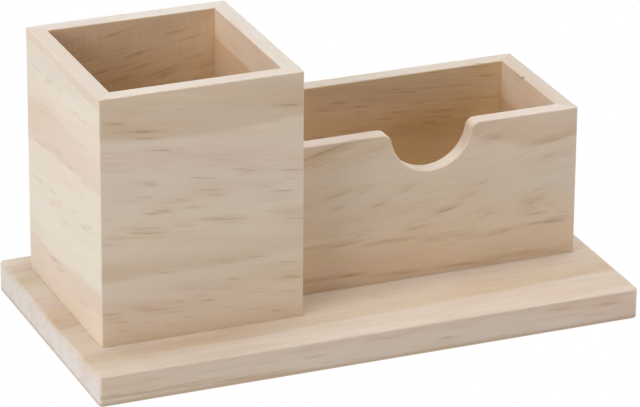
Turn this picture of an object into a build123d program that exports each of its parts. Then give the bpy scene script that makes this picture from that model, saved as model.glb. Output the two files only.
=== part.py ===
from build123d import *
import os

# A wooden pen holder for a desk: a tall pen cup and a low card box, side by side on a base board.
# Each box is a frame of four thin boards with mitred corners and no floor of its own.
# Its boards stand on the base, glued along their lower edges and pinned from below.
# The origin is the middle of the base's underside. +X is right, +Y back and +Z up.
# Lengths are in millimetres.

# Boards
wall_thickness = 6.0
base_thickness = 10.8

# Pen cup, measured over its outside
cup_width = 73.6
cup_depth = 74.7
cup_height = 90.1

# Card box, measured over its outside; it touches the cup's right side
card_width = 110.4
card_depth = 57.6
card_height = 55.4

# Bare strips that the base leaves around the two boxes
cup_left_margin = 8.8
cup_front_margin = 22.4
cup_back_margin = 8.9
card_right_margin = 7.2
card_back_margin = 10.2

# Thumb notch in the card box's front wall: a half round whose centre is a little below the rim
# and a little left of the wall's middle
notch_radius = 15.3
notch_drop = 0.3
notch_shift = 0.9
notch_shoulder_radius = 3.5

# Sanded edges: a wall's rim, and how much rounder than that a box's upright corners are
rim_edge_radius = 0.5
corner_extra_radius = 0.2
base_top_edge_radius = 0.7
base_foot_edge_radius = 0.3
base_corner_radius = 2.3
base_front_left_radius = 1.0

# Panel pins, driven up through the base into the middle of each wall's lower edge
pin_radius = 0.625
pin_bite = 10.0
pin_point_length = 1.6
pin_head_radius = 1.2
pin_head_height = 0.8
pin_head_sink = 0.3
pin_end_inset = 12.0
pin_hole_clearance = 0.05

# Base size and box places that follow from the sizes above
base_width = cup_left_margin + cup_width + card_width + card_right_margin
base_depth = cup_front_margin + cup_depth + cup_back_margin
cup_left = cup_left_margin - base_width / 2
cup_middle = (cup_left + cup_width / 2, base_depth / 2 - cup_back_margin - cup_depth / 2)
card_left = cup_left + cup_width
card_middle = (card_left + card_width / 2, base_depth / 2 - card_back_margin - card_depth / 2)


def distance_from_front_left(corner):
    """Puts the corners of the base's outline in order, the front left one first."""
    return corner.X + corner.Y


def base_board():
    """The one-piece base: rounded corners, the front left one crisper, and eased edges all round."""
    outline = Rectangle(base_width, base_depth)
    outline = fillet(outline.vertices().sort_by(distance_from_front_left)[1:], base_corner_radius)
    outline = fillet(outline.vertices().sort_by(distance_from_front_left)[0], base_front_left_radius)
    board = extrude(outline, base_thickness)
    foot, top = board.faces().filter_by(Axis.Z).sort_by(Axis.Z)
    board = fillet(top.edges(), base_top_edge_radius)
    foot = board.faces().filter_by(Axis.Z).sort_by(Axis.Z)[0]
    return fillet(foot.edges(), base_foot_edge_radius)


def wall_face(length, height, notched):
    """A wall seen square on, its lower edge on the X axis, with the thumb notch if it has one."""
    face = Rectangle(length, height, align=(Align.CENTER, Align.MIN))
    if notched:
        face -= Pos(-notch_shift, height - notch_drop) * Circle(notch_radius)
        rim_corners = face.vertices().group_by(Axis.Y)[-1].sort_by(Axis.X)
        face = fillet(rim_corners[1:-1], notch_shoulder_radius)
    return face


def mitred_plan(length):
    """A wall seen from above: its outside along the X axis, mitred ends and rounded outer corners."""
    half = length / 2
    inner_half = half - wall_thickness
    mitred = Polygon(
        (-half, 0), (half, 0), (inner_half, wall_thickness), (-inner_half, wall_thickness), align=None
    )
    corner_radius = rim_edge_radius + corner_extra_radius
    rounded = RectangleRounded(length, length, corner_radius, align=(Align.CENTER, Align.MIN))
    return mitred & rounded


def wall_board(length, height, notched=False):
    """A wall that stands on Z = 0 with its outside at Y = 0 and both edges of its rim eased."""
    board = extrude(Plane.XZ * wall_face(length, height, notched), -wall_thickness)
    board &= Pos(Z=-height) * extrude(mitred_plan(length), 3 * height)
    outside, *_, inside = board.faces().filter_by(Axis.Y).sort_by(Axis.Y)
    level_edges = (outside.edges() + inside.edges()).filter_by(Axis.Z, reverse=True)
    rim_edges = [edge for edge in level_edges if edge.center().Z > 0]
    return fillet(rim_edges, rim_edge_radius)


def turned_profile(corners):
    """A solid turned about the Z axis from its half section, given as (radius, height) corners."""
    half_section = make_face(Polyline(*[(radius, 0, height) for radius, height in corners], close=True))
    return revolve(half_section, Axis.Z)


def panel_pin():
    """A pin as it sits in the base: its head sunk below the underside, its point up in the wall."""
    head_bottom = pin_head_sink
    head_top = head_bottom + pin_head_height
    tip = base_thickness + pin_bite
    return turned_profile([
        (0, head_bottom),
        (pin_head_radius, head_bottom),
        (pin_head_radius, head_top),
        (pin_radius, head_top),
        (pin_radius, tip - pin_point_length),
        (0, tip),
    ])


def pin_hole():
    """The hole that a pin fills. The head bears on its step, and the shank has the clearance."""
    head_top = pin_head_sink + pin_head_height
    tip = base_thickness + pin_bite + pin_hole_clearance
    hole_radius = pin_radius + pin_hole_clearance
    recess_radius = pin_head_radius + pin_hole_clearance
    return turned_profile([
        (0, 0),
        (recess_radius, 0),
        (recess_radius, head_top),
        (hole_radius, head_top),
        (hole_radius, tip - pin_point_length),
        (0, tip),
    ])


def wall_places(middle, width, depth):
    """For each side of a box: its name, its outside length and the location of its board."""
    sides = (("front", 0, width, depth), ("right", 90, depth, width),
             ("back", 180, width, depth), ("left", 270, depth, width))
    for side, turn, length, across in sides:
        yield side, length, Pos(*middle) * Rot(Z=turn) * Pos(0, -across / 2)


def pin_places(place, length):
    """The two locations of a wall's pins, on the middle line of its lower edge."""
    for end in (-1, 1):
        yield place * Pos(end * (length / 2 - pin_end_inset), wall_thickness / 2)


def box_on_base(name, middle, width, depth, height, notched_side=None):
    """One box's nodes, its four walls and its pins, and the holes that its pins need in the base."""
    nodes = {}
    pins = []
    holes = []
    for side, length, place in wall_places(middle, width, depth):
        wall_holes = [spot * pin_hole() for spot in pin_places(place, length)]
        wall = place * Pos(Z=base_thickness) * wall_board(length, height, side == notched_side)
        nodes[f"{name}_{side}_wall"] = wall - wall_holes
        pins += [spot * panel_pin() for spot in pin_places(place, length)]
        holes += wall_holes
    nodes[f"{name}_pins"] = Compound(children=pins)
    return nodes, holes


cup_nodes, cup_holes = box_on_base("pen_cup", cup_middle, cup_width, cup_depth, cup_height)
card_nodes, card_holes = box_on_base(
    "card_box", card_middle, card_width, card_depth, card_height, notched_side="front"
)
nodes = {"base_board": base_board() - cup_holes - card_holes}
nodes.update(cup_nodes)
nodes.update(card_nodes)

os.makedirs("parts", exist_ok=True)
for node, shape in nodes.items():
    export_step(shape, f"parts/{node}.step")
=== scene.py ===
import bmesh
import bpy
import math
from collections import namedtuple
from mathutils import Euler, Matrix, Vector


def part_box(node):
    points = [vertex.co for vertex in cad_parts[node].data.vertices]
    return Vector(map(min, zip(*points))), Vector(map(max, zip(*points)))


# The looks of a small pine pen holder: bare sanded boards, steel pins, a white studio.
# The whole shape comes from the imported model. Every board gets its own procedural pine here.
# Places on a board are in millimetres, in the model's own frame.

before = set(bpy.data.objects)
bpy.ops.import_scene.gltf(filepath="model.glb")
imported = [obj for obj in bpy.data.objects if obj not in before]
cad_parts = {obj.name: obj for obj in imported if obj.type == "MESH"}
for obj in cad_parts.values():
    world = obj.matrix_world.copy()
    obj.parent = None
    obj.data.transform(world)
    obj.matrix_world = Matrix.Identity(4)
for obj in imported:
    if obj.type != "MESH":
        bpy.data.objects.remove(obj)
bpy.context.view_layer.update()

MM = 1000.0
WHITE = (1, 1, 1, 1)
BLACK = (0, 0, 0, 1)


# Camera, at the photograph's place
IMAGE_WIDTH = 640
SENSOR_WIDTH = 36.0
FOCAL_LENGTH_PIXELS = 4382.5
CAMERA_PLACE = (-0.5388, -1.3045, 0.6315)
CAMERA_YAW = math.radians(22.479)
CAMERA_PITCH = math.radians(22.809)
CAMERA_ROLL = math.radians(0.404)
FARTHEST_SEEN = 20


def photo_camera():
    """The camera at the photograph's viewing angle."""
    data = bpy.data.cameras.new("photo_camera")
    camera = bpy.data.objects.new("photo_camera", data)
    bpy.context.scene.collection.objects.link(camera)
    data.sensor_width = SENSOR_WIDTH
    data.lens = FOCAL_LENGTH_PIXELS / IMAGE_WIDTH * SENSOR_WIDTH
    data.clip_end = FARTHEST_SEEN
    level = Euler((math.pi / 2 - CAMERA_PITCH, 0, -CAMERA_YAW)).to_matrix()
    camera.location = CAMERA_PLACE
    camera.rotation_euler = (level @ Matrix.Rotation(CAMERA_ROLL, 3, "Z")).to_euler()
    bpy.context.scene.camera = camera


# Studio: soft round white lights on a sphere about the object. Angles are in degrees, and
# sizes and distances in metres.
LIGHT_TARGET = Vector((0, 0, 0.04))
LIGHT_DISTANCE = 1.5
Light = namedtuple("Light", "name azimuth elevation size watts")
LIGHTS = (
    Light("window", 90, 30, 0.9, 3.9),
    Light("front_left", 65, 20, 0.9, 8.5),
    Light("front_low", 0, 15, 0.9, 1.2),
    Light("overhead", 0, 89.9, 1.0, 11.7),
    Light("back_left", 135, 50, 0.9, 3.7),
    Light("right_low", 270, 20, 0.9, 10.3),
    Light("back_right", 225, 50, 0.9, 3.3),
)
FLOOR_HALF_WIDTH = 3.0
# The light that the floor throws on the object
FLOOR_BOUNCE = 0.91
# The floor lies just below the base, so that the two faces don't coincide
FLOOR_DROP = 0.0002


def soft_light(light):
    """A round area light. Azimuth 0 is in front, 90 on the left."""
    azimuth = math.radians(light.azimuth)
    elevation = math.radians(light.elevation)
    direction = Vector((
        -math.sin(azimuth) * math.cos(elevation),
        -math.cos(azimuth) * math.cos(elevation),
        math.sin(elevation),
    ))
    data = bpy.data.lights.new(light.name, "AREA")
    data.shape = "DISK"
    data.size = light.size
    data.energy = light.watts
    lamp = bpy.data.objects.new(light.name, data)
    bpy.context.scene.collection.objects.link(lamp)
    lamp.location = LIGHT_TARGET + direction * LIGHT_DISTANCE
    lamp.rotation_euler = (-direction).to_track_quat("-Z", "Y").to_euler()


class Shader:
    """A node tree with short calls. A value is a socket, a number or a tuple."""

    def __init__(self, tree):
        self.tree = tree

    def node(self, kind, inputs=None, **settings):
        """Adds a node, sets its options and feeds its inputs, which are named or numbered."""
        node = self.tree.nodes.new("ShaderNode" + kind)
        for option, value in settings.items():
            setattr(node, option, value)
        for socket, value in (inputs or {}).items():
            self.feed(node.inputs[socket], value)
        return node

    def feed(self, socket, value):
        """Links a socket to another node's output, or sets its number or colour."""
        if isinstance(value, bpy.types.NodeSocket):
            self.tree.links.new(value, socket)
        else:
            socket.default_value = value

    def math(self, operation, *values, clamp=False):
        node = self.node("Math", dict(enumerate(values)), operation=operation, use_clamp=clamp)
        return node.outputs[0]

    def vector_math(self, operation, *values):
        node = self.node("VectorMath", dict(enumerate(values)), operation=operation)
        return node.outputs["Value" if operation in ("LENGTH", "DOT_PRODUCT") else "Vector"]

    def vector(self, x, y, z):
        return self.node("CombineXYZ", {0: x, 1: y, 2: z}).outputs[0]

    def millimetres(self):
        """The place on the object, in millimetres."""
        place = self.node("TexCoord").outputs["Object"]
        return self.vector_math("MULTIPLY", place, (MM, MM, MM))

    def remap(self, value, from_low, from_high, to_low=0.0, to_high=1.0, smooth=True):
        """A clamped change of range, eased at both ends unless smooth is off."""
        inputs = {0: value, 1: from_low, 2: from_high, 3: to_low, 4: to_high}
        style = "SMOOTHSTEP" if smooth else "LINEAR"
        return self.node("MapRange", inputs, interpolation_type=style).outputs[0]

    def noise(self, vector, detail=2.0, roughness=0.5):
        """Noise from 0 to 1 about 0.5. The vector sets its scale."""
        inputs = {"Vector": vector, "Scale": 1.0, "Detail": detail, "Roughness": roughness}
        return self.node("TexNoise", inputs).outputs["Fac"]

    def swing(self, noise, width):
        """Noise as a swing about zero, as wide as width from end to end."""
        return self.math("MULTIPLY_ADD", noise, width, -width / 2)

    def tint(self, colour, multiplier, amount):
        """Multiplies a colour by another as far as amount says."""
        inputs = {0: amount, 6: colour, 7: (*multiplier, 1.0)}
        return self.node("Mix", inputs, data_type="RGBA", blend_type="MULTIPLY").outputs[2]


def new_shader(name):
    """A new material with its Principled shader, as (material, graph, principled node)."""
    material = bpy.data.materials.new(name)
    material.use_nodes = True
    graph = Shader(material.node_tree)
    return material, graph, material.node_tree.nodes["Principled BSDF"]


def white_world():
    """Surroundings that the camera sees as pure white and that light nothing."""
    bpy.context.scene.view_settings.view_transform = "Standard"
    world = bpy.data.worlds.new("studio")
    world.use_nodes = True
    bpy.context.scene.world = world
    graph = Shader(world.node_tree)
    seen = graph.node("LightPath").outputs["Is Camera Ray"]
    background = world.node_tree.nodes["Background"]
    background.inputs["Color"].default_value = WHITE
    graph.feed(background.inputs["Strength"], seen)


def white_floor():
    """A floor that the camera sees as pure white and that throws light on the object."""
    mesh = bpy.data.meshes.new("floor")
    grid = bmesh.new()
    bmesh.ops.create_grid(grid, x_segments=1, y_segments=1, size=FLOOR_HALF_WIDTH)
    grid.to_mesh(mesh)
    grid.free()
    floor = bpy.data.objects.new("floor", mesh)
    floor.location.z = -FLOOR_DROP
    bpy.context.scene.collection.objects.link(floor)
    material, graph, principled = new_shader("floor_white")
    seen = graph.node("LightPath").outputs["Is Camera Ray"]
    glow = graph.remap(seen, 0.0, 1.0, FLOOR_BOUNCE, 1.0)
    principled.inputs["Emission Color"].default_value = WHITE
    graph.feed(principled.inputs["Emission Strength"], glow)
    principled.inputs["Base Color"].default_value = BLACK
    principled.inputs["Specular IOR Level"].default_value = 0.0
    mesh.materials.append(material)


# Pine: the pale wood, and the tones that bands, streaks and patches multiply it by
PALE_PINE = (0.778, 0.660, 0.508)
BROWN = (0.80, 0.70, 0.58)
ORANGE = (0.84, 0.70, 0.54)
PINK = (0.92, 0.80, 0.77)
OLIVE = (0.90, 0.87, 0.72)
TAN = (0.92, 0.85, 0.74)
RESIN = (0.64, 0.51, 0.39)
RUST = (0.71, 0.55, 0.36)
AMBER = (0.62, 0.44, 0.14)
NICK = (0.25, 0.18, 0.13)
WARM = (1.12, 1.08, 1.03)
GLOW = (1.16, 1.13, 1.11)
COOL = (0.97, 1.05, 1.14)
SHADE = (0.90, 0.90, 0.95)
LILAC = (0.98, 0.965, 1.08)
# The tones of its slow changes, its fibres, the base's end towards the back, and the painted
# shade in the creases at the foot of the walls and along the base's lowest edge
PINKER = (0.96, 0.90, 0.88)
YELLOWER = (0.97, 0.94, 0.86)
FINE_FIBRE = (0.86, 0.82, 0.77)
BROAD_FIBRE = (0.86, 0.80, 0.73)
END_SHADE = (0.90, 0.90, 0.86)
CONTACT_SHADE = (0.62, 0.47, 0.34)
# The casts of the faces that cut the fibres, on a straight end and in the notch. The end's cast
# is partly the end grain's own colour and partly painted cool light.
END = (1.0, 1.12, 1.30)
NOTCH = (0.76, 0.76, 0.82)

UP = Vector((0, 0, 1))
RIGHT = Vector((1, 0, 0))
BACK = Vector((0, 1, 0))

# A band's sharp edge passes through three (along, across) places. Its tone fades out
# above the edge, or below it where reach is negative, and runs from one strength to another.
# Most are growth bands; the WARM ones at the foot of the walls are painted light, and the
# ORANGE ones inside the right walls are painted shade.
Band = namedtuple("Band", "places reach tone start end")
# Streaks on one side of a board, each as (along, across, length, thickness, strength).
# On the base's front edge, the second number is the depth below the top instead.
# Where two in a group overlap, the stronger one counts. Tilt is how much more steeply they
# rise than the fibres.
Marks = namedtuple("Marks", "side tone places tilt", defaults=(0.0,))
# The fibres of a board: their slope at a level across the board, and how fast it grows from there
Fibres = namedtuple("Fibres", "slope level fan")
# How strong a board's random dashes, its fine fibres and its slow change of tone are
Figure = namedtuple("Figure", "dashes fibres drift")
# What a board's sides, its rim and the faces that cut its fibres are multiplied by
# These casts are partly the wood's own colour and partly painted light: the warm or cool light
# that each face gets. The rim's cast is partly paler sanded wood and partly a painted highlight.
Casts = namedtuple("Casts", "sides rim end")
# A board, with the directions of its grain and of its depth, and a number for its noise
Board = namedtuple(
    "Board", "node along inward seed fibres figure casts bands marks", defaults=((), ()))

BOARDS = (
    Board(
        "base_board", RIGHT, -UP, 1, Fibres(0.01, 0, 0), Figure(0.6, 1.4, 1),
        Casts((0.98, 0.955, 1.02), (0.95, 0.98, 1.09), END),
        bands=(
            Band(((-95, -41), (0, -39.5), (95, -34)), 22, TAN, 0.5, 1.3),
        ),
        marks=(
            Marks("outside", ORANGE, ((-99, -5, 50, 19, 0.9),)),
            Marks("outside", OLIVE, ((-98, 32, 50, 11, 1), (-99, -39, 40, 7, 0.8))),
            Marks("outside", SHADE, (
                (-93, 42, 14, 3, 0.9), (-92, 46, 40, 10, 0.5), (76, -34, 44, 7, 0.4),
                (-76, -49, 40, 6, 0.35),
            )),
            Marks("outside", PINK, (
                (-98, 43, 50, 8, 0.7), (-42, -36.5, 50, 6, 0.3), (-98, 14, 50, 8, 0.5),
            )),
            Marks("outside", TAN, (
                (-90, -45, 60, 9, 0.7), (-62, -50, 70, 6, 0.8), (76, -34, 60, 7, 0.6),
                (58, -19, 60, 5, 0.25),
            )),
            Marks("outside", COOL, (
                (90, -27, 26, 8, 0.6), (-62, -34, 46, 6, 0.5), (12, -50, 60, 4, 0.3),
            )),
            # The second of these is painted light: it lightens the shade in the corner where the card
            # box meets the cup.
            Marks("outside", GLOW, (
                (-52, -32, 80, 6, 1), (0, -16, 60, 6, 0.7), (-90, -29, 30, 8, 0.7),
                (18, -50, 60, 6, 0.5),
            )),
            Marks("front_edge", WARM, (
                (0, 2.4, 300, 4.5, 0.35), (84, 3, 60, 5, 0.6), (-92, 3, 40, 5, 0.5),
            )),
            Marks("front_edge", COOL, ((30, 8, 260, 5, 0.35),)),
            Marks("front_edge", GLOW, ((89, 5, 40, 9, 0.35), (0, 7.5, 200, 4, 0.12))),
            Marks("front_edge", TAN, ((0, 3, 100, 4, 0.2),)),
            Marks("front_edge", RUST, ((-84, 7.6, 40, 1.2, 0.4), (-58, 8.6, 40, 1, 0.4))),
            Marks("front_edge", BROWN, (
                (-92, 7.4, 34, 2.2, 0.6), (-70, 8, 34, 2.2, 0.65), (-48, 8.8, 30, 1.8, 0.6),
                (35, 1, 150, 3, 0.35), (-21, 2.2, 20, 1.8, 0.5), (4, 2.6, 16, 1.4, 0.6),
                (30, 2.6, 16, 1.6, 0.5), (70, 2.6, 20, 1.8, 0.6), (89, 3.5, 18, 2.2, 0.6),
            )),
            Marks("front_edge", RESIN, (
                (-82, 3.4, 8, 1, 0.35), (-57, 3.9, 12, 1, 0.45), (-21.5, 5.3, 8, 1, 0.5),
                (2, 2.8, 9, 0.8, 0.35), (27, 6.4, 8, 1, 0.5), (70, 2.4, 9, 0.8, 0.3),
                (88, 3.6, 7, 1, 0.4), (82, 6.8, 9, 1, 0.45),
            )),
        ),
    ),
    Board(
        "pen_cup_front_wall", RIGHT, BACK, 2, Fibres(-0.13, 0, 0), Figure(0.25, 0.75, 0.8),
        Casts((1.022, 1.006, 1.046), (1.085, 1.175, 1.4), END),
        bands=(
            Band(((-91, 85.5), (-45, 83.4), (-17.5, 84.8)), 34, BROWN, 0.47, 0.57),
            Band(((-91, 34.5), (-60, 34), (-17.5, 36)), 13, BROWN, 0.24, 0.17),
            Band(((-91, 34.8), (-60, 34.6), (-17.5, 36.3)), 10, TAN, 0.65, 0.1),
            # Painted light: the lower wall is lightened, fading upwards from the base, against the
            # shade there
            Band(((-91, 8), (-50, 8), (-17.5, 8)), 26, WARM, 1.05, 1),
        ),
        marks=(
            Marks("outside", TAN, (
                (-66, 76, 70, 7, 0.45), (-60, 95, 60, 6, 0.5), (-62, 45, 70, 7, 0.25),
            )),
            Marks("outside", PINK, ((-54, 75.5, 90, 6, 0.18), (-50, 99.5, 90, 4, 0.5))),
            Marks("outside", SHADE, ((-60, 71, 80, 7, 0.3), (-82, 75, 20, 8, 0.25))),
            Marks("outside", LILAC, ((-54, 73, 100, 16, 0.6),)),
            Marks("outside", COOL, (
                (-56, 62, 76, 9, 0.8), (-50, 91, 90, 7, 0.4), (-24, 96, 30, 8, 0.5),
                (-78, 29, 44, 6, 0.5),
            )),
            Marks("outside", GLOW, ((-78, 29.5, 44, 6, 0.25), (-60, 61.5, 50, 6, 0.35))),
            Marks("outside", BROWN, (
                (-47, 51.2, 16, 3.5, 0.6), (-75, 51.8, 14, 3, 0.4), (-60, 51.8, 10, 2, 0.4),
                (-70, 58, 10, 3, 0.5), (-53, 62, 12, 3.5, 0.4), (-62.5, 61, 10, 3, 0.5),
                (-27, 57, 14, 3.5, 0.4), (-22, 50, 12, 4, 0.4), (-38, 68, 10, 3, 0.3),
                (-75, 68.7, 8, 2.5, 0.4), (-33, 62, 12, 3, 0.3), (-20, 64, 8, 4, 0.3),
                (-58, 57.8, 10, 2, 0.4), (-84, 50, 10, 3, 0.4), (-50, 27, 30, 4, 0.4),
                (-72, 22.5, 20, 4, 0.4), (-55, 22.5, 14, 4, 0.4), (-22, 26.5, 12, 4, 0.6),
                (-40, 24.5, 14, 3, 0.4), (-87, 21, 10, 3, 0.4), (-47, 36, 10, 2, 0.4),
                (-75, 87.3, 14, 3, 0.3), (-24, 89.6, 12, 2.5, 0.4), (-86, 91.8, 8, 2, 0.4),
                (-68, 80, 12, 2, 0.3), (-29, 31.5, 12, 2, 0.3),
            )),
            Marks("outside", RUST, (
                (-75.5, 87.2, 12, 1.1, 0.65), (-75, 84.9, 9, 0.9, 0.6), (-86, 88.3, 9, 0.6, 0.3),
                (-27, 89.8, 7, 0.5, 0.4), (-73.5, 68.5, 4, 0.6, 0.4), (-44, 49.8, 8, 0.6, 0.5),
                (-61, 51.3, 7, 0.5, 0.35), (-85, 50, 7, 0.8, 0.4), (-71, 21.6, 11, 0.8, 0.4),
                (-84.5, 21.2, 8, 0.7, 0.4), (-55.5, 24.8, 8, 0.7, 0.35), (-66, 15.2, 4, 0.9, 0.35),
                (-20.5, 25.8, 7, 1.2, 0.5),
            )),
            Marks("outside", RESIN, (
                (-74.5, 87.2, 8, 0.5, 0.5), (-85, 91.6, 4, 0.7, 0.5), (-68, 79.6, 4, 0.5, 0.9),
                (-70, 79.9, 11, 0.5, 0.4), (-79.6, 74.8, 3, 0.5, 0.5), (-22.5, 89.3, 6, 0.7, 1),
                (-53.3, 67.5, 9, 0.6, 0.8), (-72, 67.6, 4, 0.5, 0.5), (-38, 67.9, 5, 0.6, 0.6),
                (-42, 68.9, 4, 0.4, 0.4), (-41, 66.8, 4, 0.6, 0.4), (-22.5, 65.8, 9, 0.7, 0.5),
                (-75.3, 63.6, 5, 0.7, 0.5), (-80.3, 63, 4, 0.5, 0.7), (-85, 63.6, 5, 0.4, 0.3),
                (-52, 62.9, 6, 0.8, 0.6), (-49.2, 60.8, 6, 0.7, 0.4), (-66.5, 60.6, 8, 0.7, 0.35),
                (-61, 60.5, 6, 0.5, 0.7), (-32, 61, 7, 0.6, 0.4), (-24, 62.7, 5, 0.5, 0.4),
                (-72.5, 57.3, 6, 0.6, 0.6), (-68.3, 57.6, 4, 0.9, 0.5), (-57.5, 57.3, 7, 0.6, 0.6),
                (-24.5, 58.5, 9, 0.6, 0.6), (-29.5, 55.9, 10, 0.9, 0.5), (-88, 57.4, 5, 0.7, 0.35),
                (-76, 52.8, 10, 1, 0.35), (-75.5, 50.6, 11, 0.8, 0.45), (-47.5, 51.3, 13, 1, 0.55),
                (-51.5, 48.9, 4, 0.6, 0.4), (-24, 50.5, 9, 0.7, 0.5), (-21.5, 47.9, 8, 0.8, 0.6),
                (-88.8, 48.6, 5, 0.8, 0.6), (-47, 35.3, 5, 0.7, 0.7), (-34, 35.6, 6, 0.4, 0.6),
                (-69, 35, 5, 0.5, 0.4), (-22, 31.7, 8, 0.7, 0.57), (-43, 28.6, 5, 0.9, 0.45),
                (-62.8, 23.4, 3, 0.5, 0.68), (-52.5, 22.3, 4, 1, 0.57), (-85, 19.3, 6, 0.6, 0.68),
                (-83.5, 15.8, 3, 0.7, 0.68), (-60, 17.2, 4, 0.7, 0.57), (-27, 14.2, 5, 0.9, 0.57),
                (-42.5, 21, 4, 0.5, 0.57), (-87, 22.6, 9, 0.8, 0.45), (-78, 23.4, 8, 0.6, 0.39),
                (-66, 20.2, 9, 0.7, 0.45), (-50, 26.2, 9, 0.6, 0.45), (-57, 26.8, 7, 0.6, 0.39),
                (-36, 22.6, 9, 0.6, 0.45), (-46, 18.6, 10, 0.6, 0.39), (-33, 27.6, 8, 0.6, 0.45),
                (-24, 20.8, 9, 0.7, 0.45), (-73, 17.4, 10, 0.6, 0.39), (-37, 16.4, 9, 0.6, 0.39),
            )),
        ),
    ),
    Board(
        "pen_cup_left_wall", -BACK, RIGHT, 3, Fibres(0.13, 0, 0), Figure(0.3, 0.8, 0.5),
        Casts((1.015, 1.062, 1.166), (1.015, 1.116, 1.264), END),
        bands=(
            Band(((-44.6, 59.5), (-20, 63), (29.8, 66)), 22, PINK, 0.68, 0.38),
            Band(((-44.6, 78), (-10, 79), (29.8, 80)), -20, PINK, 0.44, 0.22),
            Band(((-44.6, 26.5), (-10, 26.5), (29.8, 31)), -22, PINK, 0.58, 0.68),
            Band(((-44.6, 97), (-20, 97), (29.8, 97)), 12, PINK, 0.5, 0.62),
            # Painted light: the lower wall is lightened, fading upwards from the base, against the
            # shade there
            Band(((-44.6, 8), (-20, 8), (29.8, 8)), 22, WARM, 0.2, 1),
        ),
        marks=(
            Marks("outside", RUST, ((-28, 63, 14, 1.5, 0.35), (-10, 66.5, 8, 1.2, 0.3))),
            Marks("outside", SHADE, ((-7, 95, 76, 8, 0.6),)),
            Marks("outside", GLOW, ((-2, 39.5, 56, 6, 0.25),)),
            Marks("outside", COOL, (
                (-36, 90, 30, 6, 0.6), (16, 46.5, 36, 7, 0.6), (-36, 29.5, 20, 4, 0.5),
            )),
            Marks("outside", RESIN, (
                (-37.5, 85.2, 5, 1.5, 0.33), (-34, 89.8, 6, 1.5, 0.33), (-20.5, 89.3, 7, 2, 0.39),
                (-10.4, 89.6, 8, 1.6, 0.33), (6.5, 87.6, 8, 1, 0.33), (15.4, 87.4, 4, 0.8, 0.33),
                (-24, 78.5, 6, 0.9, 0.33), (0, 65.2, 6, 1.2, 0.52), (16, 65.5, 10, 1.3, 0.39),
                (-25.5, 57.8, 3, 1, 0.39), (-32.5, 48, 8, 1.2, 0.39), (-22, 50.6, 7, 1, 0.45),
                (-18, 49.3, 6, 1.2, 0.39), (-11, 48, 8, 1.2, 0.39), (3.5, 50.5, 8, 1, 0.39),
                (14.5, 48.7, 6, 1.2, 0.52), (19.5, 51, 7, 1, 0.45), (-18.5, 44.3, 6, 1, 0.39),
                (-3, 43.2, 7, 1, 0.45), (-6, 40.2, 4, 1.5, 0.39), (10, 28.8, 6, 1.5, 0.33),
                (-18, 23.9, 8, 1.2, 0.78), (-12, 22.6, 6, 1, 0.59), (-36.5, 15.5, 5, 1, 0.39),
                (12, 19.7, 8, 1, 0.39),
            )),
        ),
    ),
    Board(
        "pen_cup_right_wall", BACK, -RIGHT, 4, Fibres(0.04, 0, 0), Figure(0.4, 1, 1),
        Casts((1.05, 1, 1.01), (1.01, 1.09, 1.29), END),
        bands=(
            # Painted shade: the lower inside of the wall is darker and orange, as where only bounced
            # light reaches
            Band(((-30, 89), (7, 90), (45, 91.5)), -30, ORANGE, 0.9, 0.9),
        ),
    ),
    Board(
        "pen_cup_back_wall", -RIGHT, -BACK, 5, Fibres(-0.17, 0, 0), Figure(0.9, 1, 1),
        Casts((1.11, 1.01, 0.9), (1.03, 1.14, 1.36), END),
        bands=(
            Band(((17, 60), (54, 64), (91, 66)), 18, BROWN, 0.4, 0.4),
        ),
        marks=(
            Marks("inside", GLOW, ((58, 81, 34, 14, 0.6), (32, 78, 34, 9, 0.5), (48, 75, 60, 6, 0.7))),
            Marks("inside", OLIVE, ((30, 80, 34, 11, 0.5), (56, 79, 24, 6, 0.3))),
            Marks("inside", LILAC, ((76, 96, 30, 9, 1), (50, 95, 60, 9, 0.9))),
            Marks("inside", AMBER, (
                (61, 96, 10, 1.1, 0.5), (57, 96.9, 7, 0.9, 0.4), (38.5, 93.8, 8, 1, 0.55),
                (32, 91.2, 12, 0.9, 0.35), (52.5, 87.8, 8, 1.2, 0.65), (55, 86.5, 7, 0.9, 0.5),
                (70.5, 87.6, 9, 1.1, 0.5), (58, 90, 7, 0.8, 0.35), (76, 91, 6, 0.8, 0.4),
                (79, 94.5, 6, 0.8, 0.35), (66.5, 82.7, 8, 1.1, 0.55), (50.5, 82.9, 8, 1, 0.55),
                (57, 83.5, 8, 0.8, 0.3), (58.5, 79.1, 8, 1.1, 0.5), (66, 78, 5, 1, 0.4),
                (41.5, 80.3, 13, 1.1, 0.6), (41.5, 78.2, 9, 1.2, 0.6), (47, 79, 5, 0.9, 0.5),
                (29.5, 83.8, 8, 1, 0.5), (36, 86, 8, 0.9, 0.35), (28, 79.5, 8, 1, 0.35),
                (74, 96.5, 8, 0.9, 0.3),
            )),
        ),
    ),
    Board(
        "card_box_front_wall", RIGHT, BACK, 6, Fibres(0, 20, 0.005), Figure(0.45, 0.9, 0.7),
        Casts((1.027, 1.003, 1.018), (1.057, 1.112, 1.314), NOTCH),
        bands=(
            Band(((-17.5, 58.6), (0, 61.8), (20, 65.5)), 9, BROWN, 0.6, 0.35),
            Band(((52, 62), (72, 55), (92, 55.5)), 16, PINK, 0.5, 0.85),
            Band(((-17.5, 28), (40, 24.5), (92, 25)), -26, TAN, 0.5, 0.2),
            # Painted light: the lower wall is lightened, fading upwards from the base, against the
            # shade there
            Band(((-17.5, 8), (30, 8), (92, 8)), 36, WARM, 1.5, 1.5),
        ),
        marks=(
            Marks("outside", TAN, ((12, 61.5, 50, 8, 0.8), (28, 38.5, 50, 5, 0.25))),
            Marks("outside", SHADE, (
                (36, 61, 140, 8, 0.35), (-2, 53, 50, 6, 0.3), (82, 15.5, 40, 6, 0.5),
            )),
            Marks("outside", PINK, ((56, 62, 24, 8, 0.5),)),
            Marks("outside", COOL, (
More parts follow.
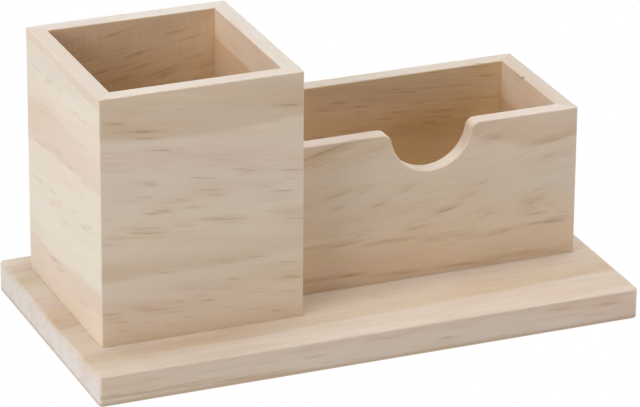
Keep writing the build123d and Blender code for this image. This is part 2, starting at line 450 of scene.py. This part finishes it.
                (90, 43, 36, 12, 1), (84, 25.5, 44, 7, 1), (48, 24.5, 30, 5, 0.9), (16, 23, 60, 5, 0.4),
            )),
            Marks("outside", GLOW, ((80, 46, 40, 8, 0.3), (87, 23, 18, 6, 0.3))),
            Marks("outside", LILAC, ((20, 20, 110, 6, 0.5),)),
            Marks("outside", BROWN, (
                (0, 46, 22, 3, 0.3), (9, 45.5, 10, 2.5, 0.22), (1, 41.8, 10, 2.5, 0.22),
                (16, 40.8, 14, 3, 0.3), (28, 45.4, 12, 2.5, 0.22), (42, 35.3, 16, 2.5, 0.45),
                (53, 42.5, 12, 2.5, 0.3), (50, 39, 12, 2.5, 0.22), (56, 31.8, 18, 4, 0.3),
                (32, 30.5, 14, 3.5, 0.3), (5, 30, 16, 4, 0.3), (-8, 33, 14, 3, 0.3),
                (78, 34, 22, 7, 0.38),
            ), 0.14),
            Marks("outside", BROWN, (
                (88, 25, 12, 2.5, 0.38), (78, 28.5, 12, 2.5, 0.22), (82, 55.7, 20, 2.5, 0.45),
                (60, 59.5, 10, 2, 0.3), (85, 49.5, 16, 2.5, 0.22),
            )),
            Marks("outside", RUST, (
                (-4, 63.3, 26, 1.4, 0.7), (-11, 59, 14, 1.4, 0.6), (6, 65, 16, 1, 0.4),
                (-9, 28.2, 16, 1.6, 0.7), (3, 27.3, 18, 1.6, 0.7), (22, 26.2, 24, 1.8, 0.6),
                (42, 24.6, 24, 1.6, 0.5), (62, 23.2, 22, 1.6, 0.5), (80, 24.2, 20, 1.6, 0.4),
                (-4, 26, 14, 1.8, 0.4), (-8, 15.8, 24, 1.6, 0.7), (6, 15.5, 14, 1.2, 0.9),
                (25, 13.6, 24, 1.4, 0.6), (28, 13.1, 7, 1, 0.6), (48, 12.9, 30, 1.4, 0.7),
                (75, 13.2, 30, 1.4, 0.6), (85, 13.3, 10, 1, 0.5), (77, 33.5, 9, 1.5, 0.3),
            )),
            Marks("outside", RESIN, (
                (0.5, 46.2, 9, 1, 0.36), (9.4, 45.6, 7, 0.7, 0.3), (1.3, 41.6, 6, 0.7, 0.36),
                (16.5, 40.4, 7, 0.7, 0.4), (28, 45, 5, 0.9, 0.4), (42.5, 34.6, 11, 0.8, 0.75),
                (32, 32.5, 8, 0.6, 0.3), (54.5, 42.5, 6, 0.6, 0.36), (51.5, 39, 6, 1, 0.26),
                (52, 31.6, 8, 0.6, 0.36), (58.7, 30.8, 4, 0.6, 0.36), (53.3, 27.8, 2, 0.5, 0.4),
                (31.5, 29.7, 6, 0.8, 0.4), (8.5, 29.4, 7, 0.7, 0.36), (-2, 31.4, 7, 0.8, 0.3),
                (81, 35, 7, 0.8, 0.36), (76.5, 32.3, 6, 0.7, 0.4), (79.5, 37.6, 6, 0.6, 0.4),
            ), 0.14),
            Marks("outside", RESIN, (
                (-6.7, 58.3, 9, 0.6, 0.4), (17.8, 61.6, 5, 1.5, 0.24), (78, 28.1, 7, 0.7, 0.36),
                (86, 24.3, 9, 0.8, 0.5), (66, 23.4, 9, 0.8, 0.3), (76, 24.4, 6, 0.6, 0.36),
                (60.3, 59.2, 4, 0.7, 0.48), (82, 55.3, 12, 1, 0.48), (77, 55, 5, 0.7, 0.32),
                (56, 60.3, 8, 0.7, 0.32), (82.5, 49.5, 8, 0.6, 0.32), (88, 48.8, 5, 0.5, 0.32),
            )),
        ),
    ),
    Board(
        "card_box_right_wall", BACK, -RIGHT, 7, Fibres(0.05, 0, 0), Figure(0.4, 1, 1),
        Casts((1.02, 0.98, 0.99), (0.94, 0.95, 1.06), END),
        bands=(
            # Painted shade: the lower inside of the wall is darker and orange, as where only bounced
            # light reaches
            Band(((-14, 51), (14, 52.5), (43, 54)), -20, ORANGE, 0.5, 0.9),
        ),
        marks=(
            Marks("inside", NICK, ((19, 65.9, 1.3, 0.8, 1),)),
            Marks("inside", RESIN, ((23.5, 65.5, 6, 0.7, 0.8),)),
        ),
    ),
    Board(
        "card_box_back_wall", -RIGHT, -BACK, 8, Fibres(0.08, 0, 0), Figure(0.8, 1, 1),
        Casts((1.16, 1.09, 0.93), (1, 1.05, 1.19), END),
        bands=(
            Band(((-87, 47), (-37, 46), (12, 45)), -20, ORANGE, 0.7, 0.3),
        ),
        marks=(
            Marks("inside", TAN, ((-78, 51, 30, 12, 1), (-52, 49, 40, 7, 0.8))),
            Marks("inside", SHADE, (
                (-40, 61, 70, 10, 1), (-79, 58, 24, 9, 0.9), (-60, 43, 26, 9, 0.35),
            )),
            Marks("inside", OLIVE, ((-62, 45, 26, 9, 0.6), (-65, 49, 18, 6, 0.8))),
            Marks("inside", PINK, ((-58, 62, 70, 6, 0.4),)),
            Marks("inside", LILAC, ((-16, 57, 50, 13, 1),)),
            Marks("inside", AMBER, (
                (-22.5, 58.9, 7, 0.8, 0.6), (-17, 56.7, 8, 0.8, 0.45), (-32, 56.2, 7, 0.8, 0.5),
                (-38, 58, 9, 1.6, 0.35), (-47, 52, 5, 0.7, 0.55), (-55, 54.5, 9, 0.9, 0.4),
                (-66, 59.2, 18, 0.8, 0.55), (-72, 53.5, 8, 0.8, 0.35), (-81, 61, 7, 1.1, 0.6),
                (-82, 52.5, 6, 0.8, 0.4), (-62.5, 48.4, 6, 0.9, 0.6), (-64, 47.4, 6, 0.9, 0.6),
                (-66, 50, 8, 0.9, 0.4), (-71.5, 48.8, 7, 0.9, 0.5), (-58, 46.3, 6, 0.8, 0.6),
                (-48.5, 46.7, 8, 0.9, 0.5), (-27, 47.3, 10, 0.8, 0.5), (-41, 50, 6, 0.8, 0.4),
                (-50, 59.5, 8, 1.4, 0.4), (-86, 60, 4, 1, 0.4),
            )),
        ),
    ),
    Board(
        "card_box_left_wall", -BACK, RIGHT, 9, Fibres(0.05, 0, 0), Figure(0.5, 1, 1),
        Casts((1.05, 1, 1), (0.94, 0.95, 1), END),
    ),
)


def parabola(graph, along, places):
    """The height of the curve through three places, at each point along the board."""
    (x1, y1), (x2, y2), (x3, y3) = places
    bend = ((y3 - y2) / (x3 - x2) - (y2 - y1) / (x2 - x1)) / (x3 - x1)
    rise = (y2 - y1) / (x2 - x1) - bend * (x1 + x2)
    level = y1 - rise * x1 - bend * x1 * x1
    slope = graph.math("MULTIPLY_ADD", along, bend, rise)
    return graph.math("MULTIPLY_ADD", slope, along, level)


# Noise on a board: the length and width of its cells along and across the fibres, a shift
# along them that keeps it apart from the others, and how much fine detail it has. Further down,
# a pair whose name ends in NOISE says at which noise an effect starts, and at which it is full.
Pattern = namedtuple("Pattern", "length width shift detail roughness", defaults=(2.0, 0.5))
# How far apart in depth two boards lie in all their noise
SEED_STEP = 53.7
# What lies on one face of a board alone ends between these depths under it
FACE_DEPTHS = (0.3, 0.1)


class Grain:
    """Places on one board as sockets, in millimetres, and noise stretched along its fibres."""

    def __init__(self, graph, board):
        self.graph = graph
        self.board = board
        across_direction = board.inward.cross(board.along)
        if across_direction.y + across_direction.z < 0:
            across_direction.negate()
        low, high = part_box(board.node)
        edges = (low.dot(across_direction) * MM, high.dot(across_direction) * MM)
        self.low_across, self.high_across = sorted(edges)
        near, far = sorted((low.dot(board.inward) * MM, high.dot(board.inward) * MM))
        self.thickness = far - near

        place = graph.millimetres()
        self.along = graph.vector_math("DOT_PRODUCT", place, tuple(board.along))
        self.across = graph.vector_math("DOT_PRODUCT", place, tuple(across_direction))
        inward = graph.vector_math("DOT_PRODUCT", place, tuple(board.inward))
        self.depth = graph.math("SUBTRACT", inward, near)
        spread = graph.math("MULTIPLY_ADD", self.along, board.fibres.fan, 1.0)
        rise = graph.math("MULTIPLY_ADD", self.along, -board.fibres.slope, -board.fibres.level)
        self.fibre_across = graph.math("DIVIDE", graph.math("ADD", self.across, rise), spread)
        self.fibre_depth = graph.math("ADD", self.depth, board.seed * SEED_STEP)
        self.normal = graph.node("TexCoord").outputs["Normal"]

    def stretched(self, length, width, shift):
        """Places in cells of the given length along the fibres and width across them."""
        along = self.graph.math("MULTIPLY_ADD", self.along, 1 / length, shift)
        across = self.graph.math("MULTIPLY", self.fibre_across, 1 / width)
        depth = self.graph.math("MULTIPLY", self.fibre_depth, 1 / width)
        return self.graph.vector(along, across, depth)

    def noise(self, pattern):
        """Noise from 0 to 1, stretched along the fibres."""
        cells = self.stretched(pattern.length, pattern.width, pattern.shift)
        return self.graph.noise(cells, pattern.detail, pattern.roughness)

    def mark_centre(self, side, along, across):
        """A mark's centre in the fibre frame."""
        if side == "front_edge":
            return self.fibre_place(along, self.low_across, across)
        return self.fibre_place(along, across, 0.0 if side == "outside" else self.thickness)

    def fibre_place(self, along, across, depth):
        """A place on the board, in the frame in which the fibres run straight."""
        slope, level, fan = self.board.fibres
        return (along, (across - along * slope - level) / (1.0 + along * fan), depth)


# Bands, both growth bands and painted light and shade: how far their edges wander and fray, how
# softly they start, and the share of their strength that is left on the faces that cut the fibres
BAND_WANDER = Pattern(30, 9, 3.1)
BAND_WANDER_WIDTH = 3.0
BAND_FRAY = Pattern(8, 1.2, 7.7, 3)
BAND_FRAY_WIDTH = 2.0
BAND_EDGE = (-0.8, 1.8)
BAND_ON_END = 0.15


def growth_and_painted_light_bands(graph, grain, colour, cut):
    """Each band starts at a sharp edge and fades out. Growth bands fade as late wood does into the year
    before; the rest are painted light and shade.
    """
    along_grain = graph.math("MULTIPLY_ADD", cut, BAND_ON_END - 1.0, 1.0)
    wander = graph.swing(grain.noise(BAND_WANDER), BAND_WANDER_WIDTH)
    frayed = graph.swing(grain.noise(BAND_FRAY), BAND_FRAY_WIDTH)
    level = graph.math("ADD", graph.math("ADD", grain.across, wander), frayed)
    for band in grain.board.bands:
        edge = parabola(graph, grain.along, band.places)
        height = graph.math("SUBTRACT", level, edge)
        if band.reach < 0:
            height = graph.math("MULTIPLY", height, -1.0)
        rise = graph.remap(height, *BAND_EDGE)
        fall = graph.remap(height, 0.0, abs(band.reach), 1.0, 0.0)
        first, last = band.places[0][0], band.places[-1][0]
        strength = graph.remap(grain.along, first, last, band.start, band.end, smooth=False)
        strength = graph.math("MULTIPLY", strength, along_grain)
        amount = graph.math("MULTIPLY", graph.math("MULTIPLY", rise, fall), strength)
        colour = graph.tint(colour, band.tone, amount)
    return colour


# A face begins to look up at the first of these cosines of its tilt, and does so fully from the
# second. Between these depths below the rim its cast falls off, and the notch gets this share.
LOOKING_UP = (0.4, 0.9)
BELOW_RIM = (3.0, 12.0)
CAST_BELOW_RIM = 0.45
# The share of its sides' cast that the outside of a back wall gets, and the depth under either
# face up to which the share stays as it is there
CAST_OUTSIDE_BACK = 0.35
CAST_FACE_DEPTH = 1.0


def painted_rim_and_side_light(graph, grain, colour):
    """Painted light with the wood's own colour: the casts of the faces that look up, and of those that
    look sideways.
    """
    board = grain.board
    upward = graph.vector_math("DOT_PRODUCT", grain.normal, tuple(UP))
    upward = graph.remap(upward, *LOOKING_UP)
    if board.node != "base_board":
        below_rim = graph.math("SUBTRACT", grain.high_across, grain.across)
        share = graph.remap(below_rim, *BELOW_RIM, 1.0, CAST_BELOW_RIM)
        upward = graph.math("MULTIPLY", upward, share)
    colour = graph.tint(colour, board.casts.rim, upward)
    sideways = graph.math("SUBTRACT", 1.0, upward)
    if board.node.endswith("back_wall"):
        inner_depth = grain.thickness - CAST_FACE_DEPTH
        share = graph.remap(grain.depth, CAST_FACE_DEPTH, inner_depth, CAST_OUTSIDE_BACK, 1.0)
        sideways = graph.math("MULTIPLY", sideways, share)
    return graph.tint(colour, board.casts.sides, sideways)


# Growth rings on the faces that cut the fibres: their middle as (0, across, depth), how far
# apart they are, and how far and how gently they stray from a circle. In each year's growth, the
# late wood darkens and ends between these shares of the year. The pores lie among the rings.
PITH = (0.0, -77.0, 102.0)
RING_SPACING = 3.4
RING_WOBBLE = 2.5
RING_WOBBLE_SCALE = (1, 0.12, 0.12)
RING_STRENGTH = 0.3
LATE_WOOD_RISE = (0.1, 0.7)
LATE_WOOD_FALL = (1.0, 0.75)
PORE_SCALE = (1, 3.2, 3.2)
PORE_NOISE = (0.62, 0.8)
PORE_STRENGTH = 0.25
# The end's cast grows from this share at the outer edge to its whole within this depth, which
# puts less of its painted light beside the rounded edge
END_CAST_AT_EDGE = 0.7
END_CAST_DEPTH = 5.0
# The base's ends darken between these two places towards the back
END_SHADE_STRETCH = (5.0, 35.0)
END_SHADE_STRENGTH = 0.5


def end_grain(graph, grain, colour, cut):
    """Growth rings and pores on faces that cut across the grain."""
    board = grain.board
    place = graph.vector(0.0, grain.across, grain.depth)
    from_pith = graph.vector_math("LENGTH", graph.vector_math("SUBTRACT", place, PITH))
    wobble = graph.noise(graph.vector_math("MULTIPLY", place, RING_WOBBLE_SCALE))
    wobble = graph.math("MULTIPLY", wobble, RING_WOBBLE)
    year = graph.math("MULTIPLY", graph.math("ADD", from_pith, wobble), 1 / RING_SPACING)
    phase = graph.math("FRACT", year)
    rise = graph.remap(phase, *LATE_WOOD_RISE)
    fall = graph.remap(phase, *LATE_WOOD_FALL)
    late_wood = graph.math("MULTIPLY", rise, fall)
    share = graph.remap(grain.depth, 0.0, END_CAST_DEPTH, END_CAST_AT_EDGE, 1.0)
    colour = graph.tint(colour, board.casts.end, graph.math("MULTIPLY", cut, share))
    if board.node == "base_board":
        towards_back = graph.remap(grain.across, *END_SHADE_STRETCH)
        shaded = graph.math("MULTIPLY", towards_back, cut)
        shaded = graph.math("MULTIPLY", shaded, END_SHADE_STRENGTH)
        colour = graph.tint(colour, END_SHADE, shaded)
    rings = graph.math("MULTIPLY", late_wood, graph.math("MULTIPLY", cut, RING_STRENGTH))
    colour = graph.tint(colour, TAN, rings)
    pores = graph.noise(graph.vector_math("MULTIPLY", place, PORE_SCALE))
    pores = graph.remap(pores, *PORE_NOISE, 0.0, PORE_STRENGTH)
    return graph.tint(colour, RESIN, graph.math("MULTIPLY", pores, cut))


# Painted shade in the creases where the walls stand on the base: how wide its line is, how strong
# from its faint stretches to its dark ones, and the share of that which shows on a wall
CONTACT_SHADE_WIDTH = 1.1
CONTACT_SHADE_PATCHES = Pattern(5, 5, 19, 3)
CONTACT_SHADE_NOISE = (0.35, 0.65)
CONTACT_SHADE_STRENGTHS = (0.05, 0.32)
CONTACT_SHADE_ON_WALL = 0.5
BASE_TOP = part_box("base_board")[1].z * MM
# Painted shade along the lower edge of the base, where it stands on the floor: the heights where it
# starts and is darkest, and how dark
FOOT_START = 2.2
FOOT_END = 0.4
FOOT_STRENGTH = 0.5


def painted_contact_shade(graph, grain, colour):
    """Painted shade: a soft uneven dark line in the crease where the walls stand on the base, in the
    wall and on the base alike, and a darker lowest edge of the base.
    """
    patchy = graph.remap(grain.noise(CONTACT_SHADE_PATCHES), *CONTACT_SHADE_NOISE, *CONTACT_SHADE_STRENGTHS)
    if grain.board.node != "base_board":
        # Painted shade in the crease at the foot of the wall
        height = graph.math("SUBTRACT", grain.across, BASE_TOP)
        line = graph.remap(height, 0.0, CONTACT_SHADE_WIDTH, CONTACT_SHADE_ON_WALL, 0.0)
        line = graph.math("MULTIPLY", line, patchy)
        return graph.tint(colour, CONTACT_SHADE, line)
    # Painted shade along the base's lowest edge
    height = graph.math("SUBTRACT", grain.thickness, grain.depth)
    foot_shade = graph.remap(height, FOOT_START, FOOT_END, 0.0, FOOT_STRENGTH)
    colour = graph.tint(colour, CONTACT_SHADE, foot_shade)
    top_face = graph.remap(grain.depth, *FACE_DEPTHS)
    # Painted shade in the crease around the foot of each box
    for prefix in ("pen_cup", "card_box"):
        left, front, right, back = outline(prefix)
        over_x = beyond(graph, grain.along, left, right)
        over_y = beyond(graph, grain.across, front, back)
        from_edge = graph.math("ABSOLUTE", graph.math("MAXIMUM", over_x, over_y))
        line = graph.remap(from_edge, 0.0, CONTACT_SHADE_WIDTH, 1.0, 0.0)
        line = graph.math("MULTIPLY", graph.math("MULTIPLY", line, top_face), patchy)
        colour = graph.tint(colour, CONTACT_SHADE, line)
    return colour


def beyond(graph, place, low, high):
    """How far a place lies outside the stretch from low to high. Inside it, this is negative."""
    from_middle = graph.math("ABSOLUTE", graph.math("SUBTRACT", place, (low + high) / 2))
    return graph.math("SUBTRACT", from_middle, (high - low) / 2)


def outline(prefix):
    """A box's outer edges on the base, in millimetres: left, front, right and back."""
    left_low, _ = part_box(prefix + "_left_wall")
    _, right_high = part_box(prefix + "_right_wall")
    front_low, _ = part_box(prefix + "_front_wall")
    _, back_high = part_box(prefix + "_back_wall")
    return left_low.x * MM, front_low.y * MM, right_high.x * MM, back_high.y * MM


# Fibres: the fine ones and broader ones under them, and how much they darken the wood
FINE_FIBRES = Pattern(12, 0.35, 5, 3, 0.6)
FINE_FIBRE_NOISE = (0.40, 0.75)
FINE_FIBRE_STRENGTH = 0.14
BROAD_FIBRES = Pattern(30, 1.5, 77, 3, 0.55)
BROAD_FIBRE_NOISE = (0.45, 0.80)
BROAD_FIBRE_STRENGTH = 0.35


def fibre_tones(graph, grain, colour, fine):
    """The fine fibres, and broader ones under them."""
    strength = grain.board.figure.fibres
    fine = graph.remap(fine, *FINE_FIBRE_NOISE, 0.0, FINE_FIBRE_STRENGTH * strength)
    colour = graph.tint(colour, FINE_FIBRE, fine)
    broad = grain.noise(BROAD_FIBRES)
    broad = graph.remap(broad, *BROAD_FIBRE_NOISE, 0.0, BROAD_FIBRE_STRENGTH * strength)
    return graph.tint(colour, BROAD_FIBRE, broad)


# Random resin dashes: the length and width of a cell, the share of the cells that hold one,
# and a shift that keeps the two kinds apart
Dashes = namedtuple("Dashes", "length width share shift")
LONG_DASHES = Dashes(15, 1.3, 0.35, 0)
SHORT_DASHES = Dashes(6, 0.7, 0.3, 9)
SHORT_DASH_STRENGTH = 0.5
# This share of the dashes has its full strength, and the others are fainter
FULL_DASHES = 0.4
# Half a dash's length, as a share of its cell, is at least this, and up to the spread more.
# Its shape narrows it across the fibres and draws it out in depth. Its tone fades in from its
# tip, and is full from this share of its half length inwards.
SMALLEST_DASH = 0.12
DASH_SPREAD = 0.28
DASH_SHAPE = (1.0, 1.6, 0.35)
DASH_CORE = 0.25
DASH_CLUSTERS = Pattern(22, 6, 14)
DASH_CLUSTER_NOISE = (0.40, 0.62)
DASH_FIBRES = Pattern(9, 0.28, 61)
DASH_FIBRE_NOISE = (0.35, 0.6)
DASH_BETWEEN_FIBRES = 0.35


def dash_layer(graph, grain, dashes):
    """Short resin dashes. Each stretched cell holds one or none."""
    cells = grain.stretched(dashes.length, dashes.width, dashes.shift)
    voronoi = graph.node("TexVoronoi", {"Vector": cells, "Scale": 1.0, "Randomness": 1.0})
    chance = graph.node("SeparateColor", {0: voronoi.outputs["Color"]})
    offset = graph.vector_math("SUBTRACT", cells, voronoi.outputs["Position"])
    shaped = graph.vector_math("MULTIPLY", offset, DASH_SHAPE)
    size = graph.math("MULTIPLY_ADD", chance.outputs[1], DASH_SPREAD, SMALLEST_DASH)
    from_middle = graph.math("DIVIDE", graph.vector_math("LENGTH", shaped), size)
    shape = graph.remap(from_middle, 1.0, DASH_CORE)
    faintest, full = 1.0 - dashes.share, 1.0 - dashes.share * FULL_DASHES
    holds = graph.remap(chance.outputs[0], faintest, full)
    return graph.math("MULTIPLY", shape, holds)


def random_dashes(graph, grain, colour):
    """Long and short resin dashes in loose clusters, broken up by the fibres."""
    fibrous = graph.remap(grain.noise(DASH_FIBRES), *DASH_FIBRE_NOISE, DASH_BETWEEN_FIBRES, 1.0)
    cluster = graph.remap(grain.noise(DASH_CLUSTERS), *DASH_CLUSTER_NOISE)
    long_dashes = dash_layer(graph, grain, LONG_DASHES)
    short_dashes = dash_layer(graph, grain, SHORT_DASHES)
    dashes = graph.math("MULTIPLY_ADD", short_dashes, SHORT_DASH_STRENGTH, long_dashes)
    dashes = graph.math("MULTIPLY", dashes, cluster)
    dashes = graph.math("MULTIPLY", dashes, grain.board.figure.dashes)
    return graph.tint(colour, RESIN, graph.math("MULTIPLY", dashes, fibrous, clamp=True))


# A listed streak fades to nothing at this many times its half length and half
# thickness. Away from its own side of the board it fades by this much per millimetre.
MARK_REACH = 1.7
MARK_FADE = 0.8
MARK_RIPPLE = Pattern(6, 2, 21)
MARK_RIPPLE_WIDTH = 0.5
MARK_STRANDS = Pattern(11, 0.9, 83)
MARK_STRAND_NOISE = (0.38, 0.60)


def mark_layer(graph, grain, marks):
    """The listed streaks on one side, as one mask."""
    place = graph.vector(grain.along, grain.fibre_across, grain.depth)
    ripple = graph.swing(grain.noise(MARK_RIPPLE), MARK_RIPPLE_WIDTH)
    place = graph.vector_math("ADD", place, graph.vector(0.0, ripple, 0.0))
    mask = 0.0
    for along, across, length, thickness, strength in marks.places:
        centre = grain.mark_centre(marks.side, along, across)
        offset = graph.vector_math("SUBTRACT", place, centre)
        if marks.tilt:
            drift = graph.vector_math("DOT_PRODUCT", offset, (-marks.tilt, 0.0, 0.0))
            offset = graph.vector_math("ADD", offset, graph.vector(0.0, drift, 0.0))
        scale = (2 / length, 2 / thickness, MARK_FADE)
        if marks.side == "front_edge":
            scale = (2 / length, MARK_FADE, 2 / thickness)
        distance = graph.vector_math("LENGTH", graph.vector_math("MULTIPLY", offset, scale))
        streak = graph.remap(distance, MARK_REACH, 0.0, 0.0, strength, smooth=False)
        mask = graph.math("MAXIMUM", mask, streak)
    return mask


def placed_marks(graph, grain, colour):
    """All the listed streaks. Their faint outskirts break up into strands."""
    strands = graph.remap(grain.noise(MARK_STRANDS), *MARK_STRAND_NOISE)
    for marks in grain.board.marks:
        mask = mark_layer(graph, grain, marks)
        gaps = graph.math("SUBTRACT", 1.0, strands)
        whole = graph.math("MULTIPLY_ADD", gaps, mask, strands)
        amount = graph.math("MULTIPLY", mask, whole, clamp=True)
        colour = graph.tint(colour, marks.tone, amount)
    return colour


# Saw marks: how fast their noise changes along the board and up it, and how strong they are
SAW_SCALE_ALONG = 1.1
SAW_SCALE_UP = 0.06
SAW_NOISE = (0.4, 0.7)
SAW_STRENGTH = 0.3


def saw_marks(graph, grain, colour):
    """Fine upright lines across the fibres, left by the saw on the inside of a board."""
    along = graph.math("MULTIPLY", grain.along, SAW_SCALE_ALONG)
    across = graph.math("MULTIPLY", grain.across, SAW_SCALE_UP)
    lines = graph.noise(graph.vector(along, across, 0.0), detail=1.0)
    lines = graph.remap(lines, *SAW_NOISE, 0.0, SAW_STRENGTH)
    from_inside = graph.math("SUBTRACT", grain.thickness, grain.depth)
    inner_face = graph.remap(from_inside, *FACE_DEPTHS)
    return graph.tint(colour, TAN, graph.math("MULTIPLY", lines, inner_face))


def put_on(node_name, material):
    """Gives every material slot of a node the material."""
    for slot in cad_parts[node_name].material_slots:
        slot.material = material


# The slow changes of tone, each with its noise
SLOW_TONES = ((PINKER, Pattern(60, 12, 11)), (YELLOWER, Pattern(45, 10, 37)))
SLOW_TONE_NOISE = (0.45, 0.75)
# A face cuts the fibres a little from the first of these cosines of its own direction and the
# fibres', and squarely at the second
CUTS_FIBRES = (0.55, 1.0)
# The finish: how rough the hollows and the ridges of the fibres are, gloss, and the relief
ROUGHNESS_NOISE = (0.2, 0.8)
ROUGHNESS = (0.54, 0.68)
GLOSS = 0.3
RELIEF_STRENGTH = 0.25
RELIEF_HEIGHT = 0.00004


def pine(board):
    """The material of one board: growth bands, fibres, resin dashes, a slow change of tone, and painted
    light and shade.
    """
    material, graph, principled = new_shader(board.node + "_pine")
    grain = Grain(graph, board)
    colour = (*PALE_PINE, 1.0)
    for tone, pattern in SLOW_TONES:
        amount = graph.remap(grain.noise(pattern), *SLOW_TONE_NOISE, 0.0, board.figure.drift)
        colour = graph.tint(colour, tone, amount)
    facing = graph.vector_math("DOT_PRODUCT", grain.normal, tuple(board.along))
    cut = graph.remap(graph.math("ABSOLUTE", facing), *CUTS_FIBRES)
    colour = growth_and_painted_light_bands(graph, grain, colour, cut)
    colour = painted_rim_and_side_light(graph, grain, colour)
    colour = end_grain(graph, grain, colour, cut)
    colour = painted_contact_shade(graph, grain, colour)
    fine = grain.noise(FINE_FIBRES)
    colour = fibre_tones(graph, grain, colour, fine)
    colour = random_dashes(graph, grain, colour)
    colour = placed_marks(graph, grain, colour)
    if board.node == "pen_cup_back_wall":
        colour = saw_marks(graph, grain, colour)

    graph.feed(principled.inputs["Base Color"], colour)
    roughness = graph.remap(fine, *ROUGHNESS_NOISE, *ROUGHNESS)
    graph.feed(principled.inputs["Roughness"], roughness)
    principled.inputs["Specular IOR Level"].default_value = GLOSS
    relief = {"Height": fine, "Strength": RELIEF_STRENGTH, "Distance": RELIEF_HEIGHT}
    graph.feed(principled.inputs["Normal"], graph.node("Bump", relief).outputs[0])
    put_on(board.node, material)


# Drawn steel wire, scratched along the pins
STEEL = (0.60, 0.60, 0.61, 1)
SCRATCH = (0.8, 0.78, 0.75)
SCRATCH_SCALE = (9.0, 9.0, 0.8)
SCRATCH_NOISE = (0.3, 0.7)
STEEL_ROUGHNESS = (0.28, 0.48)


def steel():
    """Bright drawn wire for the pins."""
    material, graph, principled = new_shader("pin_steel")
    place = graph.vector_math("MULTIPLY", graph.millimetres(), SCRATCH_SCALE)
    scratches = graph.noise(place, detail=3.0)
    roughness = graph.remap(scratches, *SCRATCH_NOISE, *STEEL_ROUGHNESS)
    principled.inputs["Metallic"].default_value = 1.0
    graph.feed(principled.inputs["Base Color"], graph.tint(STEEL, SCRATCH, scratches))
    graph.feed(principled.inputs["Roughness"], roughness)
    put_on("pen_cup_pins", material)
    put_on("card_box_pins", material)


photo_camera()
white_world()
white_floor()
for light in LIGHTS:
    soft_light(light)
for board in BOARDS:
    pine(board)
steel()
